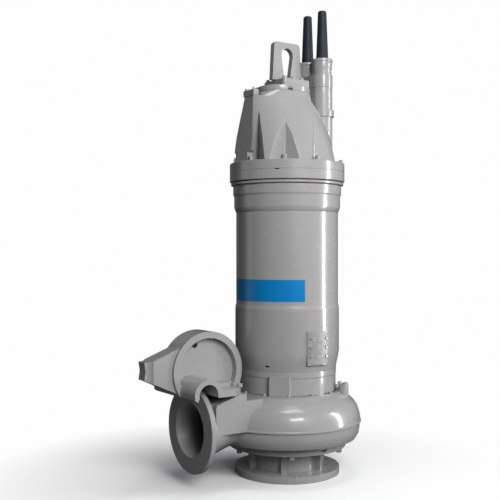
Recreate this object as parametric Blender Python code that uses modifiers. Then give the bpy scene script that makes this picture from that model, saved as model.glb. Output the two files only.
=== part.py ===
# Submersible sewage pump: volute with a side discharge, guide claw, motor and cable entry.
# Units are metres and Z is up. The pump's axis is vertical, and the discharge points to -X.
import math

import bmesh
import bpy
from mathutils import Matrix

GAP = 0.0003
STEPS = 48

# Inlet and suction side
BASE_RADIUS = 0.2525
BASE_THICK = 0.033
INLET_BORE = 0.145
NECK_RADIUS = 0.165
NECK_FLARE = 0.205
NECK_TOP = 0.132
GUSSETS = 6
GUSSET_THICK = 0.018
GUSSET_FIRST = 48.0
COVER_RADIUS = 0.283
COVER_TOP = 0.165
EYE_RADIUS = 0.160
WEAR_BORE = 0.138

# Impeller
IMPELLER_RADIUS = 0.225
IMPELLER_TOP = 0.345
IMPELLER_DISC = 0.018
VANE_LOW = 0.176
VANE_THICK = 0.022
VANES = 2

# Volute casing
VOLUTE_HUB = 0.262
VOLUTE_BELLY = 0.354
VOLUTE_RIDGE = 0.356
VOLUTE_TOP = 0.3995
VOLUTE_MOUTH = 0.228
SPIRAL_LEAST = -0.041
SPIRAL_MOST = 0.032
TONGUE_SPAN = 36.0

# Discharge
PORT_Z = 0.262
PORT_FACE = -0.545
PORT_RADIUS = 0.1975
PORT_RIM = 0.025
PORT_BORE = 0.125
PEDESTAL_HALF = 0.163
PEDESTAL_END = -0.345
PEDESTAL_TOP = 0.4277
NOZZLE_SPREAD = 1.30
PLUG_LUG = (0.182, -0.207)

# Guide claw
CLAW_X = -0.480
CLAW_Z = 0.527
CLAW_RADIUS = 0.178
CLAW_RIM = 0.030
CLAW_HALF = 0.060
WEB_HALF = 0.027
HOOK_X = -0.556
HOOK_Z = 0.4425
HOOK_INNER = 0.047
HOOK_OUTER = 0.070
HOOK_HALF = 0.188
FOOT_LOW = 0.428
FOOT_TOP = 0.460
FOOT_END = -0.362
SNOUT_TIP = -0.785
SNOUT_HALF = 0.045
SLING_HOLE = 0.015

# Motor stack, each height is where the piece ends
OIL_RADIUS = 0.235
OIL_TOP = 0.4775
LUG_ANGLE = 225.5
LUG_HALF = 0.050
LUG_TOP = 0.4915
SEAL_RADIUS = 0.241
SEAL_TOP = 0.507
JACKET_RADIUS = 0.251
JACKET_TOP = 0.790
STATOR_RADIUS = 0.2465
STATOR_TOP = 1.2500
COLLAR_TOP = 1.3760
FLANGE_RADIUS = 0.2775
FLANGE_LOW = 1.3950
FLANGE_SEAM = 1.4420
FLANGE_TOP = 1.4850

# Motor top casting
POCKETS = 8
POCKET_FIRST = 6.7
POCKET_ROOT = 0.187
POCKET_MOUTH = 0.270
POCKET_FLARE = 1.60
POCKET_SKEW = 0.016
DOME_TOP = 1.8250
CAP_TOP = 1.8500
CROWN_RADIUS = 0.112
BOSS_TOP = 1.7940
BOSS_SIDE = -0.190
# Height, radius, and reach and squareness of the half towards the blanked entry, from the crown down
DOME_LEVELS = (
    (1.8250, 0.112, 0.1540, 2.4),
    (1.7945, 0.119, 0.2400, 1.8),
    (1.7850, 0.122, 0.2405, 1.8),
    (1.7060, 0.170, 0.2515, 1.8),
    (1.6040, 0.211, 0.2680, 1.8),
    (1.5150, 0.233, 0.2785, 1.8),
    (1.4853, 0.240, 0.2817, 1.8),
)
BOSS_COVER_TOP = 1.8240

# Lifting handle
BLOCK_HALF_X = 0.0790
BLOCK_HALF_Y = 0.0866
BLOCK_X = -0.0017
BLOCK_TOP = 1.8860
HANDLE_X = -0.0095
HANDLE_TOP = 2.0720
HANDLE_THICK = 0.030
SLOT_RADIUS = 0.0345

# Cable entry
ENTRY_X = 0.172
ENTRY_Y = 0.058
ENTRY_RADIUS = 0.050
ENTRY_FLANGE = 0.058
ENTRY_SEAM = 1.7370
BRIDGE_LOW = 1.8634
BRIDGE_TOP = 1.9280
GLAND_RADIUS = 0.049
GLAND_TOP = 1.9900
PLATE_TOP = 2.0045
SLEEVE_RADIUS = 0.030
SLEEVE_TIP = 0.021
SLEEVE_TOP = 2.2440

# Plates on the jacket and the label on the motor
PLATES = 3
PLATE_ANGLE = 267.8
PLATE_SPAN = 25.0
PLATE_LOW = 0.5415
PLATE_PITCH = 0.0515
PLATE_HEIGHT = 0.0490
LABEL_LOW = 0.833
LABEL_HIGH = 0.933
LABEL_FIRST = 157.0
LABEL_LAST = 253.0
LABEL_THICK = 0.0015


def clear_scene():
    for thing in list(bpy.data.objects):
        bpy.data.objects.remove(thing, do_unlink=True)


def new_collection(name, hidden):
    group = bpy.data.collections.new(name)
    group.hide_render = hidden
    bpy.context.scene.collection.children.link(group)
    return group


def paint(name, colour, roughness, metallic):
    material = bpy.data.materials.new(name)
    material.use_nodes = True
    shader = material.node_tree.nodes["Principled BSDF"]
    shader.inputs["Base Color"].default_value = (*colour, 1.0)
    shader.inputs["Roughness"].default_value = roughness
    shader.inputs["Metallic"].default_value = metallic
    return material


def spiral_growth(passed):
    """How much wider the volute is than at its middle section, so many degrees clockwise from -X."""
    if passed < TONGUE_SPAN:
        share = 1 - passed / TONGUE_SPAN
        eased = share * share * (3 - 2 * share)
        return SPIRAL_LEAST + (SPIRAL_MOST - SPIRAL_LEAST) * eased
    share = (passed - TONGUE_SPAN) / (360.0 - TONGUE_SPAN)
    return SPIRAL_LEAST + (SPIRAL_MOST - SPIRAL_LEAST) * share


def spiral_reach(radius, passed):
    """Where a point of the turned volute ends up once the spiral has widened it."""
    share = max(0.0, (radius - VOLUTE_HUB) / (VOLUTE_BELLY - VOLUTE_HUB))
    return radius + spiral_growth(passed) * share


clear_scene()
PUMP = new_collection("submersible_sewage_pump", False)
CUTTERS = new_collection("cutters", True)
AXIS = bpy.data.objects.new("pump_axis", None)
PUMP.objects.link(AXIS)
# The middle of the whole footprint is the origin, so the pump's axis stands beside it
AXIS.location.x = -(SNOUT_TIP + spiral_reach(VOLUTE_RIDGE, 180)) / 2
AXIS.location.y = (spiral_reach(VOLUTE_RIDGE, 270) - spiral_reach(VOLUTE_RIDGE, 90)) / 2


def place(thing, material):
    """A part where material is given, or else a cutter."""
    if material:
        PUMP.objects.link(thing)
        thing.data.materials.clear()
        thing.data.materials.append(material)
    else:
        CUTTERS.objects.link(thing)
        thing.hide_render = True
        thing.display_type = "WIRE"
    thing.parent = AXIS
    return thing


def from_bmesh(name, bm, material=None):
    bmesh.ops.recalc_face_normals(bm, faces=bm.faces)
    mesh = bpy.data.meshes.new(name)
    bm.to_mesh(mesh)
    bm.free()
    mesh.shade_smooth()
    mesh.set_sharp_from_angle(angle=math.radians(35))
    return place(bpy.data.objects.new(name, mesh), material)


def turned(name, profile, material=None, centre=(0.0, 0.0), steps=STEPS):
    """Turns a profile of (radius, height) points, listed down the outer side, about a vertical axis."""
    points = [(radius, 0.0, height) for radius, height in profile]
    edges = [(i, i + 1) for i in range(len(points) - 1)]
    if profile[0][0] > 0:
        edges.append((len(points) - 1, 0))
    mesh = bpy.data.meshes.new(name)
    mesh.from_pydata(points, edges, [])
    thing = bpy.data.objects.new(name, mesh)
    thing.location = (centre[0], centre[1], 0.0)
    screw = thing.modifiers.new("Turn", "SCREW")
    screw.steps = steps
    screw.render_steps = steps
    screw.use_merge_vertices = True
    screw.merge_threshold = 0.00001
    screw.use_smooth_shade = True
    return place(thing, material)


def ring(inner, outer, low, high):
    return [(outer, high), (outer, low), (inner, low), (inner, high)]


def disc(outer, low, high):
    return [(0.0, high), (outer, high), (outer, low), (0.0, low)]


def arc(centre, radius, start, end, count):
    """Points along an arc, with both ends, in degrees."""
    turns = [math.radians(start + (end - start) * i / count) for i in range(count + 1)]
    return [(centre[0] + radius * math.cos(a), centre[1] + radius * math.sin(a)) for a in turns]


def prism(name, outline, low, high, material=None, upright=False, hole=None):
    """A flat outline with thickness: along Z, or along Y where it stands upright."""
    curve = bpy.data.curves.new(name, "CURVE")
    curve.dimensions = "2D"
    curve.fill_mode = "BOTH"
    curve.extrude = (high - low) / 2
    for path in filter(None, (outline, hole)):
        spline = curve.splines.new("POLY")
        spline.points.add(len(path) - 1)
        for point, (across, up) in zip(spline.points, path):
            point.co = (across, up, 0.0, 1.0)
        spline.use_cyclic_u = True
    guide = bpy.data.objects.new(name + "_outline", curve)
    CUTTERS.objects.link(guide)
    graph = bpy.context.evaluated_depsgraph_get()
    mesh = bpy.data.meshes.new_from_object(guide.evaluated_get(graph))
    bpy.data.objects.remove(guide)
    bm = bmesh.new()
    bm.from_mesh(mesh)
    bmesh.ops.remove_doubles(bm, verts=bm.verts, dist=0.00001)
    bmesh.ops.translate(bm, verts=bm.verts, vec=(0.0, 0.0, (low + high) / 2))
    if upright:
        bmesh.ops.rotate(bm, verts=bm.verts, matrix=Matrix.Rotation(math.pi / 2, 3, "X"))
    return from_bmesh(name, bm, material)


def tapered_box(bm, low, high, base, top, place_at=None):
    """Adds a box whose base and top are rectangles (x0, x1, y0, y1) at heights low and high."""
    corners = bmesh.ops.create_cube(bm, size=2.0)["verts"]
    for corner in corners:
        x0, x1, y0, y1 = top if corner.co.z > 0 else base
        corner.co.x = x1 if corner.co.x > 0 else x0
        corner.co.y = y1 if corner.co.y > 0 else y0
        corner.co.z = high if corner.co.z > 0 else low
    if place_at:
        bmesh.ops.transform(bm, verts=corners, matrix=place_at)
    return corners


def combine(thing, other, operation):
    change = thing.modifiers.new(operation.title(), "BOOLEAN")
    change.operation = operation
    change.solver = "EXACT"
    change.object = other


def join(thing, *others):
    for other in others:
        combine(thing, other, "UNION")


def cut(thing, *others):
    for other in others:
        combine(thing, other, "DIFFERENCE")


def around(degrees):
    return Matrix.Rotation(math.radians(degrees), 4, "Z")


def stadium(radius, centre_a, centre_b, count=12):
    """The outline round two equal circles, set one below the other in Y."""
    return arc(centre_a, radius, 180, 360, count) + arc(centre_b, radius, 0, 180, count)


GREY = paint("grey_paint", (0.33, 0.32, 0.31), 0.28, 0.0)
PLATE_GREY = paint("plate_grey_paint", (0.27, 0.27, 0.27), 0.35, 0.0)
BLUE = paint("blue_label", (0.0, 0.14, 0.42), 0.35, 0.0)
RUBBER = paint("black_rubber", (0.02, 0.025, 0.03), 0.6, 0.0)
STEEL = paint("impeller_iron", (0.18, 0.17, 0.16), 0.5, 0.4)


def inlet_spool():
    profile = [
        (NECK_FLARE, NECK_TOP),
        (NECK_FLARE, NECK_TOP - 0.006),
        (NECK_RADIUS, 0.096),
        (NECK_RADIUS, BASE_THICK),
        (BASE_RADIUS, BASE_THICK),
        (BASE_RADIUS, 0.0),
        (INLET_BORE, 0.0),
        (INLET_BORE, NECK_TOP),
    ]
    spool = turned("inlet_spool", profile, GREY)
    bm = bmesh.new()
    half = GUSSET_THICK / 2
    for i in range(GUSSETS):
        foot = (NECK_RADIUS - 0.01, 0.196, -half, half)
        head = (NECK_RADIUS - 0.01, 0.201, -half, half)
        turn = around(GUSSET_FIRST + 60 * i)
        tapered_box(bm, BASE_THICK - 0.01, NECK_TOP - 0.003, foot, head, turn)
    join(spool, from_bmesh("inlet_gussets", bm))


def suction_side():
    low = NECK_TOP + GAP
    turned("suction_cover", ring(EYE_RADIUS, COVER_RADIUS, low, COVER_TOP), GREY)
    turned("wear_ring", ring(WEAR_BORE, EYE_RADIUS - GAP, low, COVER_TOP + 0.006), STEEL)


def spiral_outline(start):
    """One vane in plan: a strip along a log spiral from the hub to the rim."""
    inner, outer, turn, count = 0.050, IMPELLER_RADIUS - 0.004, 150.0, 14
    ahead, behind = [], []
    for i in range(count + 1):
        share = i / count
        radius = inner * (outer / inner) ** share
        angle = math.radians(start + turn * share)
        spread = VANE_THICK / 2 / radius
        ahead.append((radius * math.cos(angle + spread), radius * math.sin(angle + spread)))
        behind.append((radius * math.cos(angle - spread), radius * math.sin(angle - spread)))
    return ahead + behind[::-1]


def impeller():
    low = IMPELLER_TOP - IMPELLER_DISC
    profile = [
        (0.0, IMPELLER_TOP),
        (IMPELLER_RADIUS, IMPELLER_TOP),
        (IMPELLER_RADIUS, low),
        (0.075, low - 0.012),
        (0.062, 0.21),
        (0.030, 0.20),
        (0.0, 0.20),
    ]
    wheel = turned("impeller", profile, STEEL)
    for i in range(VANES):
        vane = prism(f"vane_{i + 1}", spiral_outline(360 / VANES * i), VANE_LOW, low + 0.008)
        join(wheel, vane)


def spiral_body(name, profile, material=None):
    """A turned shape whose points beyond the hub are moved out along the spiral."""
    bm = bmesh.new()
    points = [bm.verts.new((radius, 0.0, height)) for radius, height in profile]
    edges = [bm.edges.new(pair) for pair in zip(points, points[1:])]
    if profile[0][0] > 0:
        edges.append(bm.edges.new((points[-1], points[0])))
    bmesh.ops.spin(
        bm,
        geom=points + edges,
        axis=(0, 0, 1),
        cent=(0, 0, 0),
        angle=math.tau,
        steps=60,
        use_merge=True,
    )
    bmesh.ops.remove_doubles(bm, verts=bm.verts, dist=0.00001)
    for point in bm.verts:
        radius = math.hypot(point.co.x, point.co.y)
        if radius > VOLUTE_HUB:
            passed = (180.0 - math.degrees(math.atan2(point.co.y, point.co.x))) % 360.0
            moved = spiral_reach(radius, passed) / radius
            point.co.x *= moved
            point.co.y *= moved
    return from_bmesh(name, bm, material)


def sideways(name, profile, material=None):
    """Turns a profile of (radius, x) points about the discharge's axis."""
    thing = turned(name, profile, material)
    thing.rotation_euler = (0.0, math.pi / 2, 0.0)
    thing.location = (0.0, 0.0, PORT_Z)
    return thing


def volute_casing():
    low = COVER_TOP + GAP
    shell = [
        (VOLUTE_HUB, VOLUTE_TOP),
        (VOLUTE_HUB, 0.392),
        (0.284, 0.380),
        (0.306, 0.363),
        (0.325, 0.346),
        (0.338, 0.326),
        (0.346, 0.303),
        (0.351, 0.280),
        (0.352, 0.264),
        (VOLUTE_RIDGE, 0.261),
        (VOLUTE_RIDGE, 0.255),
        (0.350, 0.252),
        (0.349, 0.228),
        (0.344, 0.200),
        (0.330, 0.176),
        (0.308, 0.168),
        (0.286, low),
        (0.240, low),
        (0.240, VOLUTE_TOP),
    ]
    casing = spiral_body("volute_casing", shell, GREY)
    rim_back = PORT_FACE + PORT_RIM
    pipe = sideways(
        "nozzle",
        [
            (0.0, -0.280),
            (0.090, -0.280),
            (0.098, -0.380),
            (0.126, -0.480),
            (0.138, rim_back - 0.01),
            (0.0, rim_back - 0.01),
        ],
    )
    pipe.scale.y = NOZZLE_SPREAD
    flange = sideways(
        "discharge_flange",
        [
            (0.0, rim_back),
            (PORT_RADIUS - 0.002, rim_back),
            (PORT_RADIUS, rim_back - 0.002),
            (PORT_RADIUS, PORT_FACE + 0.002),
            (PORT_RADIUS - 0.002, PORT_FACE),
            (0.0, PORT_FACE),
        ],
    )
    slope = [
        (-0.255, 0.256),
        (-0.255, VOLUTE_TOP - 0.004),
        (PEDESTAL_END, VOLUTE_TOP - 0.004),
        (PEDESTAL_END, PEDESTAL_TOP),
        (PEDESTAL_END - 0.035, PEDESTAL_TOP),
        (rim_back + 0.020, 0.389),
        (rim_back + 0.016, 0.375),
        (rim_back + 0.016, 0.256),
    ]
    pedestal = prism("pedestal", slope, -PEDESTAL_HALF, PEDESTAL_HALF, upright=True)
    web = [
        (-0.46, 0.256),
        (-0.46, 0.400),
        (rim_back + 0.010, 0.388),
        (rim_back - 0.006, 0.380),
        (rim_back - 0.006, 0.256),
    ]
    web = prism("pedestal_root", web, -0.125, 0.125, upright=True)
    lug = turned("plug_lug", disc(0.024, 0.355, 0.430), centre=PLUG_LUG, steps=20)
    join(casing, pipe, flange, web, pedestal, lug)

    hollow = [
        (0.0, VOLUTE_TOP + 0.02),
        (VOLUTE_MOUTH, VOLUTE_TOP + 0.02),
        (VOLUTE_MOUTH, 0.378),
        (0.285, 0.350),
        (0.318, 0.318),
        (0.334, 0.262),
        (0.322, 0.206),
        (0.290, 0.186),
        (0.262, 0.184),
        (0.262, 0.14),
        (0.0, 0.14),
    ]
    bore = sideways(
        "discharge_bore",
        [
            (0.0, -0.250),
            (0.074, -0.250),
            (0.078, -0.330),
            (0.084, -0.400),
            (0.102, -0.500),
            (PORT_BORE, PORT_FACE),
            (PORT_BORE, PORT_FACE - 0.02),
            (0.0, PORT_FACE - 0.02),
        ],
    )
    cut(casing, spiral_body("volute_hollow", hollow), bore)


def guide_claw():
    lean = [
        (-0.620, 0.431),
        (-0.758, 0.494),
        (SNOUT_TIP, 0.505),
        (SNOUT_TIP + 0.006, 0.544),
        (SNOUT_TIP, 0.583),
        (-0.758, 0.5855),
        (-0.620, 0.637),
        (-0.560, 0.637),
        (-0.560, 0.460),
    ]
    wheel = arc((CLAW_X, CLAW_Z), CLAW_RADIUS, -32, 214, 40)
    rim = prism("guide_claw", wheel, -CLAW_HALF, CLAW_HALF, GREY, upright=True)
    snout = prism("snout", lean, -SNOUT_HALF, SNOUT_HALF, upright=True)
    front = HOOK_X - HOOK_INNER
    hook = (
        arc((HOOK_X, HOOK_Z), HOOK_OUTER, 0, 180, 16)
        + [(HOOK_X - HOOK_OUTER + 0.002, 0.4250), (front - 0.006, 0.4170), (front, 0.4330)]
        + arc((HOOK_X, HOOK_Z), HOOK_INNER, 180, 0, 16)
        + [(HOOK_X + HOOK_INNER, FOOT_LOW + 0.004), (HOOK_X + HOOK_OUTER, FOOT_LOW + 0.004)]
    )
    arch = prism("hook", hook, -HOOK_HALF, HOOK_HALF, upright=True)
    edge = HOOK_HALF - 0.002
    foot = [
        (-0.505, -edge),
        (-0.420, -edge),
        (FOOT_END, -0.140),
        (FOOT_END, 0.140),
        (-0.420, edge),
        (-0.505, edge),
    ]
    sole = prism("foot", foot, FOOT_LOW, FOOT_TOP)
    recess = arc((CLAW_X, CLAW_Z), CLAW_RADIUS - CLAW_RIM, -30, 210, 36)
    pockets = [
        prism(f"pocket_{i}", recess, low, low + 0.050, upright=True)
        for i, low in ((1, WEB_HALF), (2, -WEB_HALF - 0.050))
    ]
    room = arc((HOOK_X, HOOK_Z), HOOK_INNER + 0.010, 0, 180, 16)
    room += [(HOOK_X - HOOK_INNER - 0.010, 0.38), (HOOK_X + HOOK_INNER + 0.010, 0.38)]
    hole = arc((-0.534, 0.646), SLING_HOLE, 0, 337.5, 15)
    join(rim, snout)
    cut(rim, *pockets, prism("hook_room", room, -0.1, 0.1, upright=True))
    ledge = [(-0.500, -0.100), (FOOT_END - 0.004, -0.100), (FOOT_END - 0.004, 0.100), (-0.500, 0.100)]
    join(rim, arch, sole, prism("ledge", ledge, FOOT_TOP - 0.006, FOOT_TOP + 0.014))
    cut(rim, prism("sling_hole", hole, -0.1, 0.1, upright=True))
    for side in (-1, 1):
        bar = turned(f"guide_bar_{side + 2}", disc(0.034, 0.4, 0.7), centre=(-0.778, side * 0.062), steps=24)
        cut(rim, bar)


def jacket_profile(extra=0.0):
    return [
        (0.0, JACKET_TOP + extra),
        (JACKET_RADIUS - 0.004 + extra, JACKET_TOP + extra),
        (JACKET_RADIUS + extra, JACKET_TOP - 0.004),
        (JACKET_RADIUS + extra, 0.594),
        (0.2475 + extra, 0.565),
        (0.2410 + extra, 0.535),
        (0.2350 + extra, SEAL_TOP + GAP - extra),
        (0.0, SEAL_TOP + GAP - extra),
    ]


def motor_stack():
    low = VOLUTE_TOP + GAP
    housing = turned("oil_housing", disc(OIL_RADIUS, low, OIL_TOP), GREY)
    half, reach = LUG_HALF, OIL_RADIUS + 0.017
    lug = prism("oil_lug", rounded_box(OIL_RADIUS - 0.030, reach, -half, half, 0.013), low, OIL_TOP - 0.004)
    lip = prism("oil_lug_lip", rounded_box(SEAL_RADIUS + 0.0005, reach, -half, half, 0.005), low, LUG_TOP)
    for thing in (lug, lip):
        thing.data.transform(around(LUG_ANGLE))
    join(housing, lug, lip)
    low = OIL_TOP + GAP
    turned(
        "seal_ring",
        [
            (0.0, SEAL_TOP),
            (0.233, SEAL_TOP),
            (0.233, low + 0.016),
            (SEAL_RADIUS, low + 0.014),
            (SEAL_RADIUS, low),
            (0.0, low),
        ],
        GREY,
    )
    turned("cooling_jacket", jacket_profile(), GREY)
    low = JACKET_TOP + GAP
    turned("stator_housing", disc(STATOR_RADIUS, low, STATOR_TOP), GREY)
    low = STATOR_TOP + GAP
    turned(
        "stator_collar",
        [
            (0.0, COLLAR_TOP),
            (0.2600, COLLAR_TOP),
            (0.2615, COLLAR_TOP - 0.002),
            (0.2615, 1.329),
            (0.2565, 1.326),
            (0.2565, 1.252),
            (0.2550, low),
            (0.0, low),
        ],
        GREY,
    )
    low = COLLAR_TOP + GAP
    turned(
        "joint_ring",
        [
            (0.0, FLANGE_LOW - GAP),
            (0.2560, FLANGE_LOW - GAP),
            (0.2720, FLANGE_LOW - 0.004),
            (0.2720, low + 0.004),
            (0.2560, low),
            (0.0, low),
        ],
        GREY,
    )
    turned("lower_flange", disc(FLANGE_RADIUS, FLANGE_LOW, FLANGE_SEAM), GREY)
    turned("upper_flange", disc(FLANGE_RADIUS, FLANGE_SEAM + GAP, FLANGE_TOP), GREY)


def dome_profile(extra=0.0):
    """The dome on the cable entry's side, where it is round."""
    low = DOME_LEVELS[-1][0] - extra
    grown = [(level[1] + extra, level[0]) for level in DOME_LEVELS[:-1]]
    foot = DOME_LEVELS[-1][1] + extra
    return [(0.0, DOME_TOP + extra)] + grown + [(foot, low), (0.0, low)]


def dome_level(radius, reach, squareness):
    """One level of the dome in plan: half a circle, and a longer half towards the blanked entry."""
    power = 2.0 / squareness
    points = arc((0.0, 0.0), radius, -90, 90, 24)
    for across, along in arc((0.0, 0.0), 1.0, 90, 270, 32)[1:-1]:
        side = math.copysign(abs(along) ** power, along)
        points.append((-reach * abs(across) ** power, radius * side))
    return points


def dome_body():
    bm = bmesh.new()
    levels = []
    for height, *form in DOME_LEVELS:
        levels.append([bm.verts.new((x, y, height)) for x, y in dome_level(*form)])
    for above, below in zip(levels, levels[1:]):
        for i in range(len(above)):
            bm.faces.new((above[i - 1], below[i - 1], below[i], above[i]))
    bm.faces.new(levels[0])
    bm.faces.new(levels[-1])
    bmesh.ops.triangulate(bm, faces=bm.faces)
    return from_bmesh("motor_dome", bm, GREY)


def bolt_pockets(name, which, root=POCKET_ROOT, flare=POCKET_FLARE):
    """Upright V-shaped cutters that make room for a spanner over the bolts of the top flange."""
    bm = bmesh.new()
    for i in which:
        corners = bmesh.ops.create_cube(bm, size=2.0)["verts"]
        for corner in corners:
            outer = corner.co.x > 0
            corner.co.x = POCKET_MOUTH if outer else root
            corner.co.y *= (POCKET_MOUTH - root) * flare if outer else 0.001
            corner.co.y += POCKET_SKEW if outer else 0.0
            corner.co.z = DOME_TOP - 0.03 if corner.co.z > 0 else FLANGE_TOP - 0.01
        bmesh.ops.transform(bm, verts=corners, matrix=around(POCKET_FIRST + 360 / POCKETS * i))
    return from_bmesh(name, bm)


def boss_pocket(name):
    """The pocket beside the blanked entry: its left wall is the boss's own side, and it ends in a point."""
    low = FLANGE_TOP - 0.010
    valley = (-0.1857, -0.0218)
    corners = [(valley[0], valley[1], low)]
    for direction, length in ((214.5, 0.12), (251.0, 0.16)):
        turn = math.radians(direction)
        corners.append((valley[0] + length * math.cos(turn), valley[1] + length * math.sin(turn), low))
    corners.append((-0.2160, -0.0730, 1.7300))
    bm = bmesh.new()
    bmesh.ops.convex_hull(bm, input=[bm.verts.new(corner) for corner in corners])
    return from_bmesh(name, bm)


def motor_dome():
    dome = dome_body()
    cut(dome, bolt_pockets("even_pockets", (0, 2, 6)))
    cut(dome, bolt_pockets("odd_pockets", (1, 7)))
    cut(dome, bolt_pockets("boss_side_pockets", (3, 5), POCKET_ROOT + 0.013, 1.9))
    cut(dome, boss_pocket("boss_pocket"))
    face = bmesh.new()
    tapered_box(face, 1.47, 1.83, (-0.4, -0.2681, -0.3, 0.3), (-0.4, -0.2180, -0.3, 0.3))
    step = bmesh.new()
    tapered_box(step, BOSS_TOP, 1.84, *[(-0.4, BOSS_SIDE, -0.3, 0.3)] * 2)
    cut(dome, from_bmesh("boss_face", face), from_bmesh("boss_step", step))
    for direction in (166, 194):
        turn = math.radians(direction)
        centre = (0.262 * math.cos(turn), 0.262 * math.sin(turn))
        cut(dome, turned(f"screw_notch_{direction}", disc(0.020, 1.47, 1.53), None, centre, 24))
    neck = stadium(ENTRY_RADIUS, (ENTRY_X, -ENTRY_Y), (ENTRY_X, ENTRY_Y))
    neck = prism("entry_neck", neck, 1.560, ENTRY_SEAM - 0.008)
    foot = stadium(ENTRY_FLANGE, (ENTRY_X, -ENTRY_Y), (ENTRY_X, ENTRY_Y))
    foot = prism("entry_foot", foot, ENTRY_SEAM - 0.016, ENTRY_SEAM)
    join(dome, neck, foot)


def rounded_box(x0, x1, y0, y1, radius, count=4):
    corners = ((x1, y0, -90), (x1, y1, 0), (x0, y1, 90), (x0, y0, 180))
    outline = []
    for x, y, start in corners:
        centre = (x + (radius if x == x0 else -radius), y + (radius if y == y0 else -radius))
        outline += arc(centre, radius, start, start + 90, count)
    return outline


def soften(thing, width, segments=2):
    bevel = thing.modifiers.new("Soften", "BEVEL")
    bevel.width = width
    bevel.segments = segments
    bevel.limit_method = "ANGLE"
    bevel.angle_limit = math.radians(40)


def dome_top():
    prism("dome_cap", dome_level(*DOME_LEVELS[0][1:]), DOME_TOP + GAP, CAP_TOP, GREY)
    sides = (BLOCK_X - BLOCK_HALF_X, BLOCK_X + BLOCK_HALF_X, -BLOCK_HALF_Y, BLOCK_HALF_Y)
    prism("handle_block", rounded_box(*sides, 0.016), CAP_TOP + GAP, BLOCK_TOP, GREY)
    grip = (
        [(HANDLE_X - 0.086, BLOCK_TOP + GAP), (HANDLE_X + 0.086, BLOCK_TOP + GAP)]
        + arc((HANDLE_X + 0.058, HANDLE_TOP - 0.019), 0.019, 0, 90, 4)
        + arc((HANDLE_X - 0.058, HANDLE_TOP - 0.019), 0.019, 90, 180, 4)
    )
    slot = [(HANDLE_X - 0.017, 1.897), (HANDLE_X + 0.017, 1.897)]
    slot += arc((HANDLE_X, 2.0105), SLOT_RADIUS, 0, 180, 12)
    handle = prism(
        "lifting_handle",
        grip,
        -HANDLE_THICK / 2,
        HANDLE_THICK / 2,
        GREY,
        upright=True,
        hole=slot[::-1],
    )
    soften(handle, 0.009)
    bm = bmesh.new()
    tapered_box(bm, BOSS_TOP + GAP, BOSS_COVER_TOP, *[(-0.226, -0.196, -0.044, 0.044)] * 2)
    from_bmesh("blank_cover", bm, GREY)


def cable_entry():
    centres = ((ENTRY_X, -ENTRY_Y), (ENTRY_X, ENTRY_Y))
    body = stadium(ENTRY_RADIUS, *centres)
    housing = prism("cable_entry_housing", body, ENTRY_SEAM + GAP, BRIDGE_LOW, GREY)
    foot = prism("housing_foot", stadium(ENTRY_FLANGE, *centres), ENTRY_SEAM + GAP, ENTRY_SEAM + 0.017)
    join(housing, foot)
    cut(housing, turned("dome_clearance", dome_profile(0.002)))
    cut(housing, turned("cap_clearance", disc(CROWN_RADIUS + 0.002, 1.7, 1.9)))
    bridge = stadium(ENTRY_RADIUS + 0.001, *centres)
    bridge = prism("gland_bridge", bridge, BRIDGE_LOW + GAP, BRIDGE_TOP, GREY)
    cut(bridge, turned("bridge_clearance", disc(CROWN_RADIUS + 0.002, 1.7, 1.95)))
    for i, centre in enumerate(centres, 1):
        body = [
            (0.0, GLAND_TOP),
            (GLAND_RADIUS, GLAND_TOP),
            (GLAND_RADIUS, 1.962),
            (GLAND_RADIUS - 0.003, 1.955),
            (GLAND_RADIUS - 0.003, BRIDGE_TOP + GAP),
            (0.0, BRIDGE_TOP + GAP),
        ]
        turned(f"gland_body_{i}", body, GREY, centre, 32)
        turned(f"gland_plate_{i}", disc(GLAND_RADIUS + 0.002, GLAND_TOP + GAP, PLATE_TOP), GREY, centre, 32)
        rubber = [
            (0.0, SLEEVE_TOP),
            (SLEEVE_TIP - 0.006, SLEEVE_TOP),
            (SLEEVE_TIP, SLEEVE_TOP - 0.006),
            (SLEEVE_RADIUS, PLATE_TOP + GAP),
            (0.0, PLATE_TOP + GAP),
        ]
        turned(f"cable_sleeve_{i}", rubber, RUBBER, centre, 24)


def curved_plate(name, inner, outer, first, last, low, high, material):
    """A plate wrapped round the axis between two angles."""
    count = max(4, round((last - first) / 4))
    outline = arc((0, 0), outer, first, last, count) + arc((0, 0), inner, last, first, count)
    return prism(name, outline, low, high, material)


def plates_and_label():
    first, last = PLATE_ANGLE - PLATE_SPAN / 2, PLATE_ANGLE + PLATE_SPAN / 2
    low, high = PLATE_LOW - 0.003, PLATE_LOW + PLATE_PITCH * (PLATES - 1) + PLATE_HEIGHT + 0.003
    face = JACKET_RADIUS + 0.004
    pad = curved_plate("nameplate_pad", 0.2, face, first - 0.6, last + 0.6, low, high, GREY)
    cut(pad, turned("jacket_clearance", jacket_profile(0.0005)))
    for i in range(PLATES):
        low = PLATE_LOW + PLATE_PITCH * i
        inner = face + GAP
        outer = inner + 0.002
        curved_plate(f"nameplate_{i + 1}", inner, outer, first, last, low, low + PLATE_HEIGHT, PLATE_GREY)
    inner = STATOR_RADIUS + GAP
    outer = inner + LABEL_THICK
    curved_plate("label_band", inner, outer, LABEL_FIRST, LABEL_LAST, LABEL_LOW, LABEL_HIGH, BLUE)


inlet_spool()
suction_side()
impeller()
volute_casing()
guide_claw()
motor_stack()
motor_dome()
dome_top()
cable_entry()
plates_and_label()
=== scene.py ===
import math

import bmesh
import bpy
from mathutils import Matrix, Vector


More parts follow.
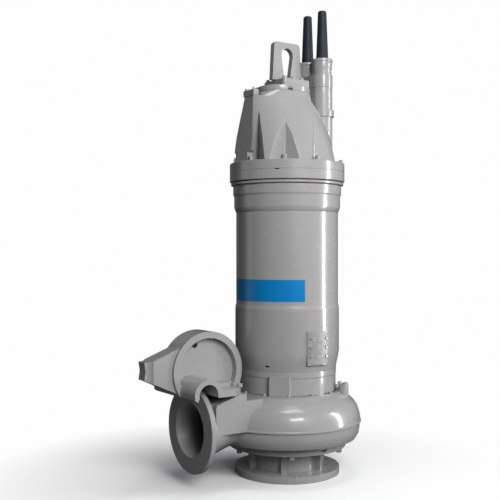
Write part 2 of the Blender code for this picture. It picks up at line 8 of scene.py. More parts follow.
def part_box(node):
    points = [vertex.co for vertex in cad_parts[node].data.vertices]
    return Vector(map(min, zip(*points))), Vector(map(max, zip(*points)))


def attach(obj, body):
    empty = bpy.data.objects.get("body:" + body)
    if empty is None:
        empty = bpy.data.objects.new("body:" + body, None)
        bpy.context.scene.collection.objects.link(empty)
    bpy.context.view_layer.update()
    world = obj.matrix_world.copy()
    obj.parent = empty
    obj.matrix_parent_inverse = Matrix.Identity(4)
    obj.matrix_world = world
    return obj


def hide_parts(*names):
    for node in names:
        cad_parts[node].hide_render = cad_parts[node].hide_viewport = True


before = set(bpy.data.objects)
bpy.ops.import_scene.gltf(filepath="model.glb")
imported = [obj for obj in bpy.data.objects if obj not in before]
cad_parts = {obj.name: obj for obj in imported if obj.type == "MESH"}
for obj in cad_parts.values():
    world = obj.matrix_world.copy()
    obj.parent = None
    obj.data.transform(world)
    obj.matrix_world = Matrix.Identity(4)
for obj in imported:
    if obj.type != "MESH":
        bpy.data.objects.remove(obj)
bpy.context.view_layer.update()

# A submersible sewage pump on a pale floor. The pump's axis is upright and its discharge points to -X.
statorLow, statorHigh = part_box("stator_housing")
pumpAxis = Vector(((statorLow.x + statorHigh.x) / 2, (statorLow.y + statorHigh.y) / 2, 0))


def nodeLevels(name):
    low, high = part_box(name)
    return low.z, high.z  # bottom and top of a solid


def nodeRadius(name):
    low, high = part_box(name)
    return (high.y - low.y) / 2  # of a solid turned about the pump's axis


# Shader groups

def newGroup(name, inputs, outputs):
    group = bpy.data.node_groups.new(name, "ShaderNodeTree")
    for title, kind, value in inputs:
        socket = group.interface.new_socket(name=title, in_out="INPUT", socket_type=kind)
        if value is not None:
            socket.default_value = value
    for title, kind in outputs:
        group.interface.new_socket(name=title, in_out="OUTPUT", socket_type=kind)
    source = group.nodes.new("NodeGroupInput")
    target = group.nodes.new("NodeGroupOutput")
    return group, source, target


def addNoise(tree, scale, detail, roughness):
    place = tree.nodes.new("ShaderNodeTexCoord")
    noise = tree.nodes.new("ShaderNodeTexNoise")
    noise.inputs["Scale"].default_value = scale
    noise.inputs["Detail"].default_value = detail
    noise.inputs["Roughness"].default_value = roughness
    tree.links.new(place.outputs["Object"], noise.inputs["Vector"])
    return noise


def addMath(tree, operation, first, second, third=None):
    node = tree.nodes.new("ShaderNodeMath")
    node.operation = operation
    for socket, value in zip(node.inputs, (first, second, third)):
        if value is None:
            continue
        if isinstance(value, (int, float)):
            socket.default_value = value
        else:
            tree.links.new(value, socket)
    return node.outputs[0]


def addSpread(tree, value, low, high, start=0.0, end=1.0):
    node = tree.nodes.new("ShaderNodeMapRange")
    tree.links.new(value, node.inputs["Value"])
    for title, amount in (("From Min", low), ("From Max", high), ("To Min", start), ("To Max", end)):
        if isinstance(amount, (int, float)):
            node.inputs[title].default_value = amount
        else:
            tree.links.new(amount, node.inputs[title])
    return node.outputs["Result"]


def addColourMix(tree, factor, first, second):
    node = tree.nodes.new("ShaderNodeMix")
    node.data_type = "RGBA"
    for socket, value in ((node.inputs["Factor"], factor), (node.inputs["A"], first), (node.inputs["B"], second)):
        if isinstance(value, (int, float)):
            socket.default_value = value
        elif isinstance(value, tuple):
            socket.default_value = value
        else:
            tree.links.new(value, socket)
    return node.outputs["Result"]


def makePaintSkin():
    group, source, target = newGroup(
        "paintSkin",
        (
            ("Colour", "NodeSocketColor", (0.3, 0.3, 0.3, 1)),
            ("Thin Colour", "NodeSocketColor", (0.25, 0.25, 0.25, 1)),
            ("Cloud Scale", "NodeSocketFloat", 4.0),
            ("Gloss", "NodeSocketFloat", 0.2),
            ("Haze", "NodeSocketFloat", 0.3),
            ("Peel", "NodeSocketFloat", 1.0),
            ("Casting", "NodeSocketFloat", 0.0),
        ),
        (("Colour", "NodeSocketColor"), ("Roughness", "NodeSocketFloat"), ("Height", "NodeSocketFloat")),
    )
    clouds = addNoise(group, 4.0, 3.0, 0.55)  # where the coat lies thick or thin
    group.links.new(source.outputs["Cloud Scale"], clouds.inputs["Scale"])
    cloudy = addSpread(group, clouds.outputs["Fac"], 0.35, 0.65)
    colour = addColourMix(group, cloudy, source.outputs["Thin Colour"], source.outputs["Colour"])
    wipe = addNoise(group, 17.0, 4.0, 0.6)  # hands and cloths leave it a little uneven
    rough = addSpread(group, wipe.outputs["Fac"], 0.3, 0.7, source.outputs["Gloss"], source.outputs["Haze"])
    peel = addNoise(group, 260.0, 1.0, 0.4)  # the sprayed coat's orange peel
    sand = addNoise(group, 62.0, 3.0, 0.6)  # the sand-cast skin under the coat
    fine = addMath(group, "MULTIPLY", peel.outputs["Fac"], source.outputs["Peel"])
    height = addMath(group, "MULTIPLY_ADD", sand.outputs["Fac"], source.outputs["Casting"], fine)
    group.links.new(colour, target.inputs["Colour"])
    group.links.new(rough, target.inputs["Roughness"])
    group.links.new(height, target.inputs["Height"])
    return group


def makeShopDust():
    group, source, target = newGroup(
        "shopDust",
        (
            ("Colour", "NodeSocketColor", (0.3, 0.3, 0.3, 1)),
            ("Dust", "NodeSocketColor", (0.45, 0.43, 0.4, 1)),
            ("Roughness", "NodeSocketFloat", 0.3),
            ("Amount", "NodeSocketFloat", 0.2),
        ),
        (("Colour", "NodeSocketColor"), ("Roughness", "NodeSocketFloat")),
    )
    shape = group.nodes.new("ShaderNodeNewGeometry")
    split = group.nodes.new("ShaderNodeSeparateXYZ")
    group.links.new(shape.outputs["Normal"], split.inputs["Vector"])
    level = addSpread(group, split.outputs["Z"], 0.55, 0.98)  # dust lies on level faces
    patches = addNoise(group, 38.0, 5.0, 0.65)
    broken = addSpread(group, patches.outputs["Fac"], 0.4, 0.66)
    lying = addMath(group, "MULTIPLY", level, broken)
    share = addMath(group, "MULTIPLY", lying, source.outputs["Amount"])
    colour = addColourMix(group, share, source.outputs["Colour"], source.outputs["Dust"])
    rough = addMath(group, "MULTIPLY_ADD", share, 0.4, source.outputs["Roughness"])
    group.links.new(colour, target.inputs["Colour"])
    group.links.new(rough, target.inputs["Roughness"])
    return group


paintSkin = makePaintSkin()
shopDust = makeShopDust()


def placeGroup(tree, group, values):
    node = tree.nodes.new("ShaderNodeGroup")
    node.node_tree = group
    for title, value in values.items():
        node.inputs[title].default_value = value
    return node


def newMaterial(name):
    material = bpy.data.materials.new(name)
    material.use_nodes = True
    return material, material.node_tree, material.node_tree.nodes["Principled BSDF"]


def addBump(tree, shader, height, strength, distance):
    bump = tree.nodes.new("ShaderNodeBump")
    bump.inputs["Strength"].default_value = strength
    bump.inputs["Distance"].default_value = distance
    tree.links.new(height, bump.inputs["Height"])
    tree.links.new(bump.outputs["Normal"], shader.inputs["Normal"])


paintFinish = {
    "colour": (0.292, 0.286, 0.286, 1),
    "thinColour": (0.284, 0.279, 0.280, 1),
    "dust": (0.40, 0.385, 0.37, 1),
    "coat": 0.55,
    "coatRoughness": 0.06,
}


def makePaint(name, gloss, haze, peel, casting, dusty, shade=1.0):
    material, tree, shader = newMaterial(name)
    dim = tuple(part * shade for part in paintFinish["colour"][:3]) + (1,)
    dimThin = tuple(part * shade for part in paintFinish["thinColour"][:3]) + (1,)
    skin = placeGroup(
        tree,
        paintSkin,
        {"Colour": dim, "Thin Colour": dimThin, "Gloss": gloss, "Haze": haze, "Peel": peel, "Casting": casting},
    )
    dust = placeGroup(tree, shopDust, {"Dust": paintFinish["dust"], "Amount": dusty})
    tree.links.new(skin.outputs["Colour"], dust.inputs["Colour"])
    tree.links.new(skin.outputs["Roughness"], dust.inputs["Roughness"])
    tree.links.new(dust.outputs["Colour"], shader.inputs["Base Color"])
    tree.links.new(dust.outputs["Roughness"], shader.inputs["Roughness"])
    shader.inputs["Coat Weight"].default_value = paintFinish["coat"]
    shader.inputs["Coat Roughness"].default_value = paintFinish["coatRoughness"]
    addBump(tree, shader, skin.outputs["Height"], 0.12, 0.0012)
    return material


smoothPaint = makePaint("smoothPaint", 0.24, 0.28, 0.5, 0.0, 0.04)
castPaint = makePaint("castPaint", 0.25, 0.30, 0.7, 0.8, 0.06)
facePaint = makePaint("facePaint", 0.40, 0.52, 0.5, 0.3, 0.02, 0.85)


# dark: depth from the mouth over which the bore's painted shade reaches near black
discharge = {"height": 0.262, "mouth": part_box("volute_casing")[0].x, "bore": 0.1262, "dark": 0.13, "reach": 0.35}


def makeBoreShadePaint():
    material, tree, shader = newMaterial("boreShadePaint")
    skin = placeGroup(
        tree,
        paintSkin,
        {"Colour": paintFinish["colour"], "Thin Colour": paintFinish["thinColour"], "Gloss": 0.3, "Haze": 0.4,
         "Peel": 0.6, "Casting": 1.2},
    )
    place = tree.nodes.new("ShaderNodeTexCoord")
    split = tree.nodes.new("ShaderNodeSeparateXYZ")
    tree.links.new(place.outputs["Object"], split.inputs["Vector"])
    mouth = discharge["mouth"]
    # Painted shade: the bore's paint darkens from the mouth inwards to near black, where little light reaches
    deep = addSpread(tree, split.outputs["X"], mouth + 0.01, mouth + discharge["dark"])
    colour = addColourMix(tree, deep, skin.outputs["Colour"], (0.010, 0.011, 0.013, 1))
    tree.links.new(colour, shader.inputs["Base Color"])
    tree.links.new(skin.outputs["Roughness"], shader.inputs["Roughness"])
    addBump(tree, shader, skin.outputs["Height"], 0.12, 0.0012)
    return material


boreShadePaint = makeBoreShadePaint()


def makePlatePaint():
    material, tree, shader = newMaterial("platePaint")
    skin = placeGroup(
        tree,
        paintSkin,
        {"Colour": (0.33, 0.325, 0.325, 1), "Thin Colour": (0.26, 0.256, 0.26, 1), "Cloud Scale": 55.0,
         "Gloss": 0.35, "Haze": 0.5, "Peel": 0.3, "Casting": 2.0},
    )
    tree.links.new(skin.outputs["Colour"], shader.inputs["Base Color"])
    tree.links.new(skin.outputs["Roughness"], shader.inputs["Roughness"])
    shader.inputs["Metallic"].default_value = 0.3
    addBump(tree, shader, skin.outputs["Height"], 0.35, 0.001)
    return material


def makeVinyl():
    material, tree, shader = newMaterial("blueVinyl")
    skin = placeGroup(
        tree,
        paintSkin,
        {"Colour": (0.0, 0.165, 0.43, 1), "Thin Colour": (0.0, 0.152, 0.40, 1), "Cloud Scale": 6.0,
         "Gloss": 0.26, "Haze": 0.34, "Peel": 0.3, "Casting": 0.1},
    )
    tree.links.new(skin.outputs["Colour"], shader.inputs["Base Color"])
    tree.links.new(skin.outputs["Roughness"], shader.inputs["Roughness"])
    addBump(tree, shader, skin.outputs["Height"], 0.08, 0.001)
    return material


def makeRubber():
    material, tree, shader = newMaterial("blackRubber")
    skin = placeGroup(
        tree,
        paintSkin,
        {"Colour": (0.011, 0.018, 0.025, 1), "Thin Colour": (0.008, 0.013, 0.019, 1), "Cloud Scale": 30.0,
         "Gloss": 0.42, "Haze": 0.6, "Peel": 0.5, "Casting": 0.8},
    )
    dust = placeGroup(tree, shopDust, {"Dust": (0.08, 0.09, 0.10, 1), "Amount": 0.3})
    tree.links.new(skin.outputs["Colour"], dust.inputs["Colour"])
    tree.links.new(skin.outputs["Roughness"], dust.inputs["Roughness"])
    tree.links.new(dust.outputs["Colour"], shader.inputs["Base Color"])
    tree.links.new(dust.outputs["Roughness"], shader.inputs["Roughness"])
    addBump(tree, shader, skin.outputs["Height"], 0.2, 0.0006)
    return material


def makeWetIron():
    material, tree, shader = newMaterial("wetIron")
    skin = placeGroup(
        tree,
        paintSkin,
        {"Colour": (0.13, 0.125, 0.12, 1), "Thin Colour": (0.075, 0.068, 0.062, 1), "Cloud Scale": 24.0,
         "Gloss": 0.32, "Haze": 0.6, "Peel": 0.2, "Casting": 2.5},
    )
    tree.links.new(skin.outputs["Colour"], shader.inputs["Base Color"])
    tree.links.new(skin.outputs["Roughness"], shader.inputs["Roughness"])
    shader.inputs["Metallic"].default_value = 0.55
    addBump(tree, shader, skin.outputs["Height"], 0.4, 0.0015)
    return material


platePaint = makePlatePaint()
blueVinyl = makeVinyl()
blackRubber = makeRubber()
wetIron = makeWetIron()
print("materials made")


# Mesh helpers. Shapes are built round the pump's axis and moved onto it when they are finished.

def finishPiece(name, shape, material, nodes=(), sharpAngle=32, atAxis=True):
    mesh = bpy.data.meshes.new(name)
    shape.to_mesh(mesh)
    shape.free()
    if atAxis:
        mesh.transform(Matrix.Translation(pumpAxis))
    mesh.materials.append(material)
    mesh.shade_smooth()
    mesh.set_sharp_from_angle(angle=math.radians(sharpAngle))
    piece = bpy.data.objects.new(name, mesh)
    bpy.context.scene.collection.objects.link(piece)
    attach(piece, "root")
    keepFlat(piece)
    if nodes:
        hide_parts(*nodes)
    return piece


def keepFlat(piece):
    even = piece.modifiers.new("even", "WEIGHTED_NORMAL")  # broad faces shade flat beside their broken edges
    even.keep_sharp = True


def roundEdges(shape, width, segments=3, limit=25):
    edges = [edge for edge in shape.edges if len(edge.link_faces) == 2 and edge.calc_face_angle(0) > math.radians(limit)]
    bmesh.ops.bevel(
        shape,
        geom=edges,
        offset=width,
        offset_type="OFFSET",
        segments=segments,
        profile=0.5,
        affect="EDGES",
        clamp_overlap=True,
        material=-1,
    )


def turnProfile(profile, steps=144, rounding=0.0, segments=3, centre=(0, 0)):
    shape = bmesh.new()  # profile is (radius, height) from the top down the outer side
    points = [shape.verts.new((radius, 0, height)) for radius, height in profile]
    edges = [shape.edges.new(pair) for pair in zip(points, points[1:])]
    if profile[0][0] > 0:
        edges.append(shape.edges.new((points[-1], points[0])))
    bmesh.ops.spin(
        shape,
        geom=points + edges,
        axis=(0, 0, 1),
        cent=(0, 0, 0),
        angle=math.tau,
        steps=steps,
        use_merge=True,
    )
    bmesh.ops.remove_doubles(shape, verts=shape.verts, dist=0.00001)
    bmesh.ops.recalc_face_normals(shape, faces=shape.faces)
    if rounding:
        roundEdges(shape, rounding, segments)
    bmesh.ops.translate(shape, verts=shape.verts, vec=(centre[0], centre[1], 0))
    return shape


def copySolid(node, rounding=0.0, segments=2, limit=28, weld=0.00002):
    shape = bmesh.new()  # a merged copy of a CAD solid, with its edges broken
    shape.from_mesh(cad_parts[node].data)
    bmesh.ops.remove_doubles(shape, verts=shape.verts, dist=weld)
    bmesh.ops.dissolve_limit(
        shape,
        angle_limit=math.radians(0.4),
        verts=shape.verts,
        edges=shape.edges,
        use_dissolve_boundaries=False,
        delimit=set(),
    )
    if rounding:
        roundEdges(shape, rounding, segments, limit)
    return shape


# Castings that keep their solid's form, with broken edges
castings = {
    "inlet_spool": ("inletSpool", castPaint, 0.003),
    "volute_casing": ("voluteCasing", castPaint, 0.003),
    "guide_claw": ("guideClaw", castPaint, 0.003),
    "motor_dome": ("motorDome", castPaint, 0.003),
    "oil_housing": ("oilHousing", smoothPaint, 0.005),
    "dome_cap": ("domeCap", castPaint, 0.003),
    "handle_block": ("handleBlock", castPaint, 0.003),
    "lifting_handle": ("liftingHandle", castPaint, 0.004),
    "blank_cover": ("blankCover", castPaint, 0.002),
    "cable_entry_housing": ("cableEntryHousing", castPaint, 0.0025),
    "gland_bridge": ("glandBridge", castPaint, 0.0025),
    "gland_body_1": ("glandBodyNear", smoothPaint, 0.0015),
    "gland_body_2": ("glandBodyFar", smoothPaint, 0.0015),
    "gland_plate_1": ("glandPlateNear", smoothPaint, 0.0015),
    "gland_plate_2": ("glandPlateFar", smoothPaint, 0.0015),
    "suction_cover": ("suctionCover", castPaint, 0.003),
    "nameplate_pad": ("nameplatePad", smoothPaint, 0.001),
}
for node, (title, material, rounding) in castings.items():
    shape = copySolid(node, rounding)
    finishPiece(title, shape, material, [node], atAxis=False)
print("castings dressed")

for node in ("impeller", "wear_ring"):
    shape = copySolid(node, 0.001)
    finishPiece("dressed_" + node, shape, wetIron, [node], atAxis=False)

for i in (1, 2, 3):
    shape = copySolid(f"nameplate_{i}", 0.0006, 1)
    finishPiece(f"blankPlate{i}", shape, platePaint, [f"nameplate_{i}"], atAxis=False)

# Turned housings
housings = {
    "statorFoot": ((0, 0.026), (0.0006, 0.020), (0.0034, 0.012), (0.0040, 0.004), (0.0040, 0)),
    "collarSide": (
        (0.2615, 0.1257), (0.2615, 0.0860), (0.2600, 0.0820), (0.2575, 0.0780), (0.2565, 0.0740),
        (0.2565, 0.0260), (0.2550, 0.0180), (0.2510, 0.0080), (0.2480, 0.0020), (0.2475, 0),
    ),
    "plain": (  # with the broken edge at the top and at the bottom
        ("lower_flange", "lowerFlange", 0.0006, 0.003),
        ("upper_flange", "upperFlange", 0.003, 0.0006),
    ),
    "jacketTaper": ((0.594, 0.2510), (0.565, 0.2475), (0.535, 0.2410)),
}


def turnedHousings():
    for node, title, top, base in housings["plain"]:
        low, high = nodeLevels(node)
        radius = nodeRadius(node)
        side = [(0, high), (radius - top, high), (radius, high - top), (radius, low + base), (radius - base, low), (0, low)]
        shape = turnProfile(side)
        roundEdges(shape, 0.0004, 1, 20)
        finishPiece(title, shape, smoothPaint, [node])
    low, high = nodeLevels("stator_housing")
    radius = nodeRadius("stator_housing")
    foot = [(radius + out, low + up) for out, up in housings["statorFoot"]]
    shape = turnProfile([(0, high), (radius - 0.001, high), (radius, high - 0.001)] + foot + [(0, low)])
    finishPiece("statorHousing", shape, smoothPaint, ["stator_housing"])
    low, high = nodeLevels("cooling_jacket")
    radius = nodeRadius("cooling_jacket")
    taper = [(width, height) for height, width in housings["jacketTaper"]]
    shape = turnProfile([(0, high), (radius - 0.0005, high), (radius, high - 0.0005)] + taper + [(0.2350, low), (0, low)])
    finishPiece("coolingJacket", shape, smoothPaint, ["cooling_jacket"])
    low, high = nodeLevels("seal_ring")
    ring = [(0, high), (0.2365, high), (0.2365, low + 0.003), (0.2350, low), (0, low)]
    finishPiece("sealRing", turnProfile(ring, rounding=0.0010), smoothPaint, ["seal_ring"])
    low, high = nodeLevels("stator_collar")
    collar = [(0, high)] + [(width, low + up) for width, up in housings["collarSide"]] + [(0, low)]
    finishPiece("statorCollar", turnProfile(collar, rounding=0.002), smoothPaint, ["stator_collar"])
    low, high = nodeLevels("joint_ring")
    ring = [(0, high), (0.2560, high), (0.2720, high - 0.004), (0.2720, low + 0.004), (0.2560, low), (0, low)]
    finishPiece("jointRing", turnProfile(ring, rounding=0.0015), smoothPaint, ["joint_ring"])


turnedHousings()

shape = copySolid("label_band")
finishPiece("labelBand", shape, blueVinyl, ["label_band"], atAxis=False)
for i in (1, 2):
    shape = copySolid(f"cable_sleeve_{i}", 0.002)
    finishPiece(f"cableSleeve{i}", shape, blackRubber, [f"cable_sleeve_{i}"], atAxis=False)
print("housings dressed")

# Cuts made after a piece is finished, and then kept in its mesh

def placeTool(shape, radius, angle, height):
    turn = Matrix.Rotation(math.radians(angle), 4, "Z")
    shape.transform(Matrix.Translation(pumpAxis + Vector((0, 0, height))) @ turn @ Matrix.Translation((radius, 0, 0)))


def cutAway(piece, shape):
    piece.modifiers.clear()
    mesh = bpy.data.meshes.new("tool")
    shape.to_mesh(mesh)
    shape.free()
    tool = bpy.data.objects.new("tool", mesh)
    bpy.context.scene.collection.objects.link(tool)
    change = piece.modifiers.new("cut", "BOOLEAN")
    change.operation = "DIFFERENCE"
    change.solver = "EXACT"
    change.object = tool
    graph = bpy.context.evaluated_depsgraph_get()
    piece.data = bpy.data.meshes.new_from_object(piece.evaluated_get(graph))
    piece.modifiers.clear()
    piece.data.set_sharp_from_angle(angle=math.radians(32))
    bpy.data.objects.remove(tool)
    keepFlat(piece)


# Slots for a pry bar: the piece, distance from the axis, angle, height, width, tallness and depth
prySlots = (
    ("coolingJacket", 0.240, 211.0, 0.5335, 0.022, 0.009, 0.040),
    ("suctionCover", 0.283, 270.5, 0.1490, 0.032, 0.008, 0.040),
    ("lowerFlange", 0.2775, 224.0, 1.4400, 0.023, 0.006, 0.040),
    ("lowerFlange", 0.2775, 44.0, 1.4400, 0.023, 0.006, 0.040),
    ("domeCap", 0.1125, 240.5, 1.8285, 0.024, 0.009, 0.040),
    ("voluteCasing", 0.2680, 275.4, 0.3730, 0.032, 0.010, 0.040),
)


def cutPrySlots():
    for title, radius, angle, height, width, tall, deep in prySlots:
        shape = bmesh.new()
        bmesh.ops.create_cube(shape, size=1.0)
        bmesh.ops.scale(shape, verts=shape.verts, vec=(deep, width, tall))
        placeTool(shape, radius, angle, height)
        cutAway(bpy.data.objects[title], shape)


cutPrySlots()


def widenSlingHole():
    plan = {"x": -0.531, "z": 0.644, "radius": 0.0165, "depth": 0.05}
    shape = bmesh.new()
    bmesh.ops.create_cone(
        shape, cap_ends=True, segments=32, radius1=plan["radius"], radius2=plan["radius"], depth=plan["depth"]
    )
    shape.transform(Matrix.Translation(pumpAxis + Vector((plan["x"], 0, plan["z"]))) @ Matrix.Rotation(math.pi / 2, 4, "X"))
    cutAway(bpy.data.objects["guideClaw"], shape)


def paintDischarge():
    mesh = bpy.data.objects["voluteCasing"].data
    mesh.materials.append(boreShadePaint)
    mesh.materials.append(facePaint)
    for polygon in mesh.polygons:
        centre, normal = polygon.center, polygon.normal
        y, z = centre.y - pumpAxis.y, centre.z - discharge["height"]
        inward = y * normal.y + z * normal.z < 0
        depth = centre.x - discharge["mouth"]
        if depth < 0.0006:
            polygon.material_index = 2
        # faces inside the bore take the paint with the painted shade
        elif depth < discharge["reach"] and inward and math.hypot(y, z) < discharge["bore"]:
            polygon.material_index = 1


widenSlingHole()
paintDischarge()
print("slots cut")


# Fasteners, each family in one piece

def addHexBolt(target, place, flats, height, washer=0.0):
    parts = bmesh.new()
    base = 0.0
    if washer:
        bmesh.ops.create_cone(parts, cap_ends=True, segments=24, radius1=washer, radius2=washer, depth=0.003)
        bmesh.ops.translate(parts, verts=parts.verts, vec=(0, 0, 0.0015))
        base = 0.003
    radius = flats / math.sqrt(3)
    made = bmesh.ops.create_cone(parts, cap_ends=True, segments=6, radius1=radius, radius2=radius, depth=height)
    bmesh.ops.translate(parts, verts=made["verts"], vec=(0, 0, base + height / 2))
    edges = [edge for edge in parts.edges if edge.calc_face_angle(0) > math.radians(25)]
    bmesh.ops.bevel(
        parts, geom=edges, offset=0.0012, segments=2, profile=0.5, affect="EDGES", clamp_overlap=True, material=-1
    )
    addParts(target, parts, place)


def addCapScrew(target, place, radius, height, socket=0.5):
    parts = bmesh.new()
    bmesh.ops.create_cone(parts, cap_ends=True, segments=24, radius1=radius, radius2=radius, depth=height)
    bmesh.ops.translate(parts, verts=parts.verts, vec=(0, 0, height / 2))
    top = max(parts.faces, key=lambda face: face.calc_center_median().z)
    bmesh.ops.inset_region(parts, faces=[top], thickness=radius * 0.16, depth=radius * 0.16)
    bmesh.ops.inset_region(parts, faces=[top], thickness=radius * (0.84 - socket), depth=0)
    bmesh.ops.inset_region(parts, faces=[top], thickness=radius * 0.03, depth=-height * 0.6)
    addParts(target, parts, place)


def addDomeNut(target, place, radius, height):
    parts = bmesh.new()
    points = [(0, height), (radius * 0.45, height * 0.94), (radius * 0.75, height * 0.72)]
    points += [(radius * 0.86, height * 0.42), (radius, height * 0.38), (radius, 0), (0, 0)]
    steps = [parts.verts.new((across, 0, up)) for across, up in points]
    lines = [parts.edges.new(pair) for pair in zip(steps, steps[1:])]
    bmesh.ops.spin(
        parts, geom=steps + lines, axis=(0, 0, 1), cent=(0, 0, 0), angle=math.tau, steps=20, use_merge=True
    )
    bmesh.ops.remove_doubles(parts, verts=parts.verts, dist=0.00001)
    bmesh.ops.recalc_face_normals(parts, faces=parts.faces)
    addParts(target, parts, place)


def addParts(target, parts, place):
    parts.transform(place)
    mesh = bpy.data.meshes.new("parts")
    parts.to_mesh(mesh)
    parts.free()
    target.from_mesh(mesh)
    bpy.data.meshes.remove(mesh)


def upright(x, y, z, turn=0.0):
    return Matrix.Translation((x, y, z)) @ Matrix.Rotation(math.radians(turn), 4, "Z")


def roundAxis(radius, angle, z):
    return Matrix.Rotation(math.radians(angle), 4, "Z") @ Matrix.Translation((radius, 0, z))


def hanging(radius, angle, z):
    return roundAxis(radius, angle, z) @ Matrix.Rotation(math.pi, 4, "X")


fasteners = {
    "suctionCover": {"count": 6, "first": 178, "radius": 0.270, "flats": 0.024, "height": 0.011},
    "voluteTop": {"count": 14, "first": 235.0, "radius": 0.2520, "size": 0.0078, "height": 0.009},
    "pockets": {"count": 8, "first": 5.8, "radius": (0.2135, 0.2200), "size": 0.0120, "height": 0.024},
    "flangeEdge": {"angles": (194, 166, 326, 34), "radius": 0.262, "size": 0.0105, "height": 0.020},
    "block": {"x": (-0.065, -0.0135, 0.038), "y": 0.068, "size": 0.0105, "height": 0.015},
    "cover": {"x": -0.211, "y": (-0.030, 0.034), "flats": 0.019, "height": 0.010},
    "rivets": {"z": (0.5785, 0.6210, 0.6625), "angles": (259.5, 278.5), "radius": 0.2571, "size": 0.0072, "height": 0.004},
    "lug": {
        "radius": 0.2450, "angle": 228.2, "z": 0.4735, "size": 0.0080, "height": 0.018,
        "hex": (0.1670, -0.1970, 0.430), "plug": (0.1895, -0.2120, 0.430),
    },
    "foot": {"x": -0.3735, "y": (0.105, 0.150), "flats": 0.024, "height": 0.012},
}


def makeFasteners():
    plan = fasteners["suctionCover"]
    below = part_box("suction_cover")[0].z
    shape = bmesh.new()
    for i in range(plan["count"]):
        place = hanging(plan["radius"], plan["first"] + 360 / plan["count"] * i, below)
        addHexBolt(shape, place, plan["flats"], plan["height"], 0.014)
    finishPiece("suctionCoverBolts", shape, smoothPaint)

    plan = fasteners["voluteTop"]
    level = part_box("oil_housing")[0].z
    shape = bmesh.new()
    for i in range(plan["count"]):
        angle = plan["first"] + 360 / plan["count"] * i
        addCapScrew(shape, roundAxis(plan["radius"], angle, level - 0.003), plan["size"], plan["height"] + 0.003)
    finishPiece("voluteTopScrews", shape, smoothPaint)

    plan = fasteners["pockets"]
    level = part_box("upper_flange")[1].z
    shape = bmesh.new()
    for i in range(plan["count"]):
        if i == 4:
            continue  # the blanked entry stands there
        radius = plan["radius"][1 if i in (3, 5) else 0]
        addCapScrew(shape, roundAxis(radius, plan["first"] + 45 * i, level), plan["size"], plan["height"])
    finishPiece("pocketScrews", shape, smoothPaint)

    plan = fasteners["flangeEdge"]
    shape = bmesh.new()
    for angle in plan["angles"]:
        addCapScrew(shape, roundAxis(plan["radius"], angle, level), plan["size"], plan["height"])
    finishPiece("flangeStuds", shape, smoothPaint)

    plan = fasteners["block"]
    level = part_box("handle_block")[1].z
    shape = bmesh.new()
    for x in plan["x"]:
        for side in (-1, 1):
            addDomeNut(shape, upright(x, side * plan["y"], level), plan["size"], plan["height"])
    finishPiece("blockNuts", shape, smoothPaint)

    plan = fasteners["cover"]
    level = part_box("blank_cover")[1].z
    shape = bmesh.new()
    for y in plan["y"]:
        addHexBolt(shape, upright(plan["x"], y, level, 10), plan["flats"], plan["height"])
    finishPiece("blankCoverBolts", shape, smoothPaint)

    plan = fasteners["foot"]
    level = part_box("volute_casing")[1].z
    shape = bmesh.new()
    for y in plan["y"]:
        for side in (-1, 1):
            addHexBolt(shape, upright(plan["x"], side * y, level, 15), plan["flats"], plan["height"], 0.0145)
    finishPiece("footBolts", shape, smoothPaint)

    plan = fasteners["rivets"]
    shape = bmesh.new()
    for z in plan["z"]:
        for angle in plan["angles"]:
            place = roundAxis(plan["radius"], angle, z) @ Matrix.Rotation(math.pi / 2, 4, "Y")
            addCapScrew(shape, place, plan["size"], plan["height"], 0.45)
    finishPiece("plateRivets", shape, smoothPaint)

    plan = fasteners["lug"]
    shape = bmesh.new()
    addCapScrew(shape, roundAxis(plan["radius"], plan["angle"], plan["z"]), plan["size"], plan["height"], 0.55)
    x, y, z = plan["hex"]
    addHexBolt(shape, upright(x, y, z, 20), 0.020, 0.012)
    x, y, z = plan["plug"]
    addCapScrew(shape, upright(x, y, z), 0.0125, 0.006, 0.4)
    finishPiece("lugScrews", shape, smoothPaint)


makeFasteners()
print("fasteners set")

# Camera: level, at the photograph's viewing angle, and about as far off as its perspective says
view = {
    "turn": 56.0,
    "distance": 4.07,
    "aside": -0.1797,
    "height": 1.07,
    "lens": 60.3,
    "roll": 0.0,
}
viewTurn = math.radians(view["turn"])
ahead = Vector((math.cos(viewTurn), math.sin(viewTurn), 0))
across = Vector((math.sin(viewTurn), -math.cos(viewTurn), 0))
cameraData = bpy.data.cameras.new("camera")
cameraData.lens = view["lens"]
cameraData.sensor_width = 36
camera = bpy.data.objects.new("camera", cameraData)
camera.location = pumpAxis - ahead * view["distance"] + across * view["aside"] + Vector((0, 0, view["height"]))
camera.rotation_euler = (math.radians(90), math.radians(view["roll"]), viewTurn - math.radians(90))
bpy.context.scene.collection.objects.link(camera)
bpy.context.scene.camera = camera

# Floor: pale near the pump, and fading into the backdrop further off
floorFade = {"from": 0.35, "to": 1.35, "radius": 12.0, "backdrop": (0.985, 0.985, 0.985, 1)}


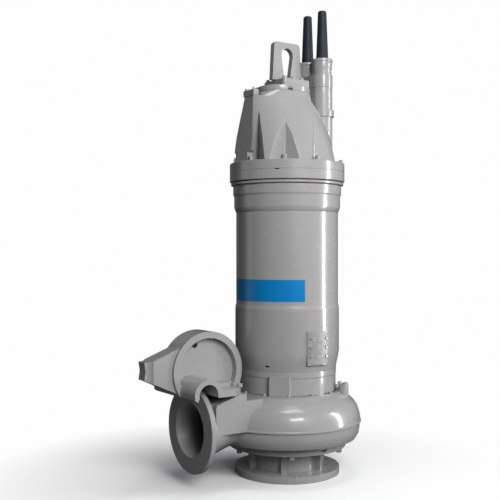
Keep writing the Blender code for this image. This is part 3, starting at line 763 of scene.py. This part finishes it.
def makeFloor():
    shape = bmesh.new()
    bmesh.ops.create_circle(shape, cap_ends=True, segments=96, radius=floorFade["radius"])
    bmesh.ops.translate(shape, verts=shape.verts, vec=(0, 0, -0.0005))
    mesh = bpy.data.meshes.new("floor")
    shape.to_mesh(mesh)
    shape.free()
    floor = bpy.data.objects.new("floor", mesh)
    bpy.context.scene.collection.objects.link(floor)
    material, tree, shader = newMaterial("paleFloor")
    grain = addNoise(tree, 3.0, 2.0, 0.5)
    pale = addColourMix(tree, grain.outputs["Fac"], (0.93, 0.93, 0.93, 1), (0.95, 0.95, 0.95, 1))
    rays = tree.nodes.new("ShaderNodeLightPath")
    bounce = addSpread(tree, rays.outputs["Is Camera Ray"], 0.0, 1.0, 0.12, 1.0)
    shown = addColourMix(tree, bounce, (0, 0, 0, 1), pale)
    tree.links.new(shown, shader.inputs["Base Color"])
    shader.inputs["Roughness"].default_value = 0.9
    place = tree.nodes.new("ShaderNodeTexCoord")
    reach = tree.nodes.new("ShaderNodeVectorMath")
    reach.operation = "LENGTH"
    tree.links.new(place.outputs["Object"], reach.inputs[0])
    away = addSpread(tree, reach.outputs["Value"], floorFade["from"], floorFade["to"])
    share = addMath(tree, "MULTIPLY", away, rays.outputs["Is Camera Ray"])
    glow = tree.nodes.new("ShaderNodeEmission")
    glow.inputs["Color"].default_value = floorFade["backdrop"]
    mix = tree.nodes.new("ShaderNodeMixShader")
    tree.links.new(share, mix.inputs["Fac"])
    tree.links.new(shader.outputs["BSDF"], mix.inputs[1])
    tree.links.new(glow.outputs["Emission"], mix.inputs[2])
    tree.links.new(mix.outputs["Shader"], tree.nodes["Material Output"].inputs["Surface"])
    mesh.materials.append(material)


makeFloor()

# Studio light, each lamp placed by its turn from the camera's side of the pump
studio = {
    "strip": {"turn": 84, "distance": 3.0, "height": 1.2, "aim": 1.1, "size": (0.42, 2.7), "power": 60, "seen": True},
    "key": {"turn": 18, "distance": 3.4, "height": 2.9, "aim": 1.9, "size": (1.3, 0.8), "power": 40, "seen": True},
    "over": {"turn": 30, "distance": 0.8, "height": 4.4, "aim": 0.8, "size": (1.3, 1.0), "power": 22, "seen": True},
    "fill": {"turn": 22, "distance": 4.2, "height": 2.4, "aim": 0.7, "size": (2.4, 2.0), "power": 158, "seen": False},
    "rim": {"turn": -92, "distance": 3.0, "height": 1.2, "aim": 1.1, "size": (1.0, 2.4), "power": 4, "seen": True},
}


def makeLamp(name, turn, distance, height, aim, size, power, seen):
    data = bpy.data.lights.new(name, "AREA")
    data.shape = "RECTANGLE"
    data.size, data.size_y = size
    data.energy = power
    lamp = bpy.data.objects.new(name, data)
    toward = viewTurn + math.pi + math.radians(turn)
    target = pumpAxis + Vector((0, 0, aim))
    lamp.location = pumpAxis + Vector((math.cos(toward), math.sin(toward), 0)) * distance + Vector((0, 0, height))
    lamp.rotation_euler = (target - lamp.location).to_track_quat("-Z", "Y").to_euler()
    lamp.visible_camera = False
    lamp.visible_glossy = seen  # the fill gives no reflection of its own
    bpy.context.scene.collection.objects.link(lamp)


for name in studio:
    makeLamp(name, **studio[name])

# Room levels every 30 degrees of turn from the camera's side, going right: dark behind on the left
roomLevels = (0.22, 0.27, 0.28, 0.30, 0.24, 0.12, 0.04, 0.16, 0.0, 0.03, 0.08, 0.15)


def makeWorld():
    world = bpy.data.worlds.new("studio")
    world.use_nodes = True
    tree = world.node_tree
    room = tree.nodes["Background"]
    place = tree.nodes.new("ShaderNodeTexCoord")
    turned = tree.nodes.new("ShaderNodeMapping")
    turned.inputs["Rotation"].default_value = (0, 0, -viewTurn)
    tree.links.new(place.outputs["Generated"], turned.inputs["Vector"])
    sweep = tree.nodes.new("ShaderNodeTexGradient")
    sweep.gradient_type = "RADIAL"
    tree.links.new(turned.outputs["Vector"], sweep.inputs["Vector"])
    ramp = tree.nodes.new("ShaderNodeValToRGB")
    tree.links.new(sweep.outputs["Fac"], ramp.inputs["Fac"])
    stops = len(roomLevels)
    while len(ramp.color_ramp.elements) < stops + 1:
        ramp.color_ramp.elements.new(0.5)
    for i, element in enumerate(ramp.color_ramp.elements):
        level = roomLevels[i % stops]
        element.position = i / stops
        element.color = (level * 0.97, level, level * 1.04, 1)
    tree.links.new(ramp.outputs["Color"], room.inputs["Color"])
    backdrop = tree.nodes.new("ShaderNodeBackground")
    backdrop.inputs["Color"].default_value = floorFade["backdrop"]
    rays = tree.nodes.new("ShaderNodeLightPath")
    mix = tree.nodes.new("ShaderNodeMixShader")
    tree.links.new(rays.outputs["Is Camera Ray"], mix.inputs["Fac"])
    tree.links.new(room.outputs["Background"], mix.inputs[1])
    tree.links.new(backdrop.outputs["Background"], mix.inputs[2])
    tree.links.new(mix.outputs["Shader"], tree.nodes["World Output"].inputs["Surface"])
    bpy.context.scene.world = world


makeWorld()
bpy.context.scene.view_settings.view_transform = "Standard"
print("studio set")
